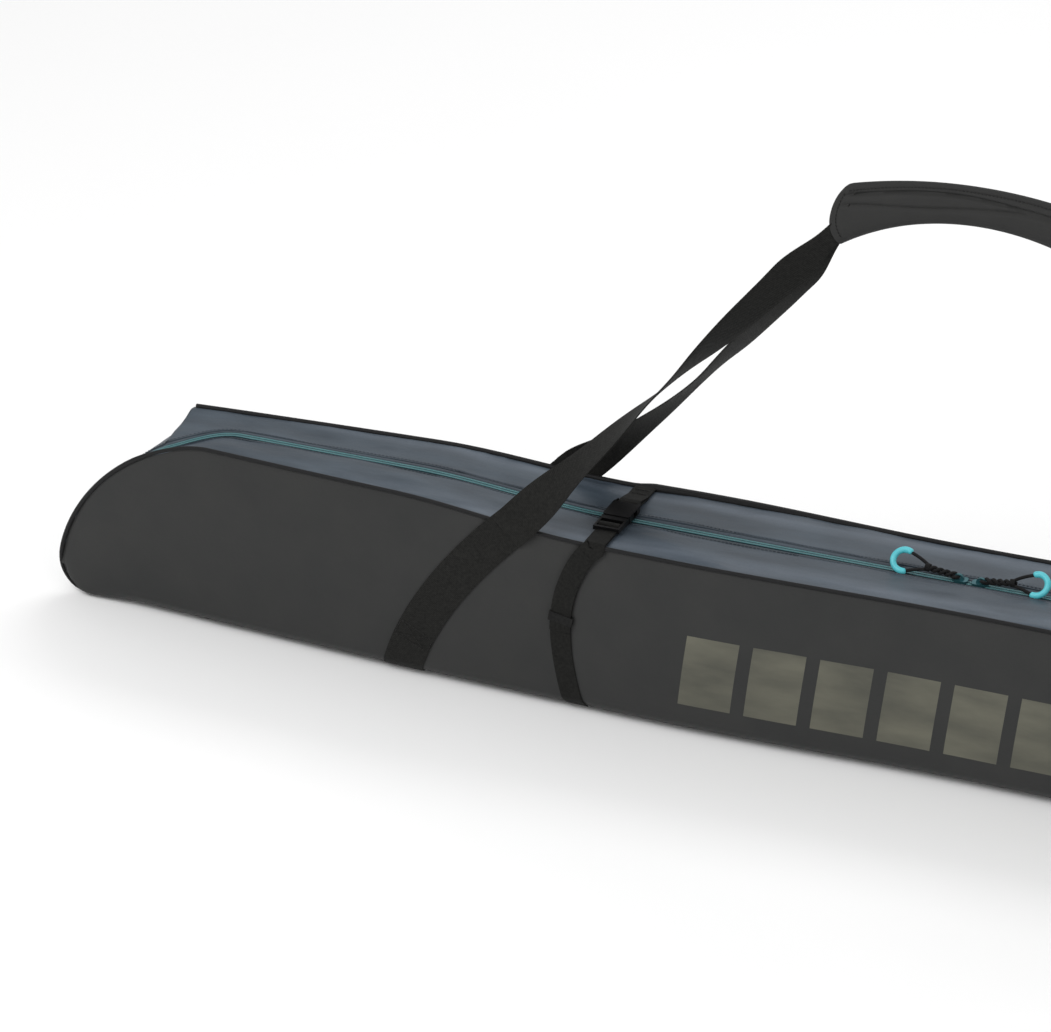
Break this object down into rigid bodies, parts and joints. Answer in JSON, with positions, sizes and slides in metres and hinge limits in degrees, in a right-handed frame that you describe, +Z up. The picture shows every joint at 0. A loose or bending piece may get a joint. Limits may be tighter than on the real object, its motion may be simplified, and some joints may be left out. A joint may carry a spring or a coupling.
{
  "type": "ski bag",
  "caption": "Long padded bag for one pair of skis, with rounded ends, a two-way zip along the top, two buckled compression straps and a webbing sling with a padded grip.",
  "frame": {"origin": "on the floor under the middle of the bag", "axes": "+X along the bag, -Y out of its front face, +Z up; the bag stands on its base"},
  "size_m": [1.776, 0.1341, 0.559],
  "materials": {
    "panel_cloth": "satin coated cloth",
    "gusset_cloth": "satin coated cloth",
    "foam": "matte",
    "piping": "satin",
    "zip_tape": "matte",
    "zip_coil": "satin",
    "zip_slider": "satin",
    "cord": "matte",
    "pull_rubber": "satin",
    "sling_webbing": "matte",
    "grip_cloth": "satin",
    "hook_and_loop": "matte",
    "strap_webbing": "matte",
    "buckle_plastic": "satin",
    "elastic": "matte"
  },
  "bodies": {
    "bag": {"front_panel": "panel_cloth", "back_panel": "panel_cloth", "base_panel": "panel_cloth", "gusset_front": "gusset_cloth", "gusset_back": "gusset_cloth", "gusset_front_left": "gusset_cloth", "gusset_front_right": "gusset_cloth", "gusset_back_left": "gusset_cloth", "gusset_back_right": "gusset_cloth", "front_padding": "foam", "back_padding": "foam", "base_padding": "foam", "front_piping": "piping", "back_piping": "piping", "zip_tape_front": "zip_tape", "zip_tape_back": "zip_tape", "zip_coil_front": "zip_coil", "zip_coil_back": "zip_coil", "zip_end_left": "zip_tape", "zip_end_right": "zip_tape", "sling_foot_left": "sling_webbing", "sling_foot_right": "sling_webbing", "sling_front_left": "sling_webbing", "sling_front_right": "sling_webbing", "sling_back_left": "sling_webbing", "sling_back_right": "sling_webbing", "strap_anchor_left": "strap_webbing", "strap_anchor_right": "strap_webbing", "strap_left": "strap_webbing", "strap_right": "strap_webbing", "strap_tail_left": "strap_webbing", "strap_tail_right": "strap_webbing", "buckle_female_left": "buckle_plastic", "buckle_female_right": "buckle_plastic"},
    "handle": {"leg_front_left": "sling_webbing", "leg_front_right": "sling_webbing", "leg_back_left": "sling_webbing", "leg_back_right": "sling_webbing", "grip_web_front": "sling_webbing", "grip_web_back": "sling_webbing", "grip_cover": "grip_cloth", "grip_foam_front": "foam", "grip_foam_back": "foam", "grip_closure": "hook_and_loop"},
    "slider_left": {"zip_slider_left": "zip_slider"},
    "pull_left": {"pull_cord_left": "cord", "pull_grip_left": "pull_rubber"},
    "buckle_left": {"buckle_male_left": "buckle_plastic", "buckle_prongs_left": "buckle_plastic", "strap_loop_left": "strap_webbing"},
    "keeper_left": {"keeper_left": "elastic"},
    "slider_right": {"zip_slider_right": "zip_slider"},
    "pull_right": {"pull_cord_right": "cord", "pull_grip_right": "pull_rubber"},
    "buckle_right": {"buckle_male_right": "buckle_plastic", "buckle_prongs_right": "buckle_plastic", "strap_loop_right": "strap_webbing"},
    "keeper_right": {"keeper_right": "elastic"}
  },
  "joints": [
    {"name": "slider_left_slide", "type": "slide", "parent": "bag", "child": "slider_left", "axis": [-1, 0, 0], "range_m": [0, 0.225]},
    {"name": "pull_left_swing", "type": "hinge", "parent": "slider_left", "child": "pull_left", "pos_m": [-0.0105, 0, 0.17745], "axis": [0, 1, 0], "range_deg": [0, 90]},
    {"name": "buckle_left_release", "type": "slide", "parent": "bag", "child": "buckle_left", "axis": [0, -1, 0], "range_m": [0, 0.025], "deforming": ["strap_loop_left", "buckle_prongs_left"]},
    {"name": "keeper_left_slide", "type": "slide", "parent": "bag", "child": "keeper_left", "axis": [0.1817, 0, 0.9834], "range_m": [0, 0.02]},
    {"name": "slider_right_slide", "type": "slide", "parent": "bag", "child": "slider_right", "axis": [1, 0, 0], "range_m": [0, 0.225]},
    {"name": "pull_right_swing", "type": "hinge", "parent": "slider_right", "child": "pull_right", "pos_m": [0.0105, 0, 0.17745], "axis": [0, -1, 0], "range_deg": [0, 90]},
    {"name": "buckle_right_release", "type": "slide", "parent": "bag", "child": "buckle_right", "axis": [0, -1, 0], "range_m": [0, 0.025], "deforming": ["strap_loop_right", "buckle_prongs_right"]},
    {"name": "keeper_right_slide", "type": "slide", "parent": "bag", "child": "keeper_right", "axis": [-0.1817, 0, 0.9834], "range_m": [0, 0.02]},
    {"name": "handle_swing", "type": "hinge", "parent": "bag", "child": "handle", "pos_m": [0, 0.0651, 0.176], "axis": [1, 0, 0], "range_deg": [0, 65], "deforming": ["leg_front_left", "leg_front_right"]}
  ]
}
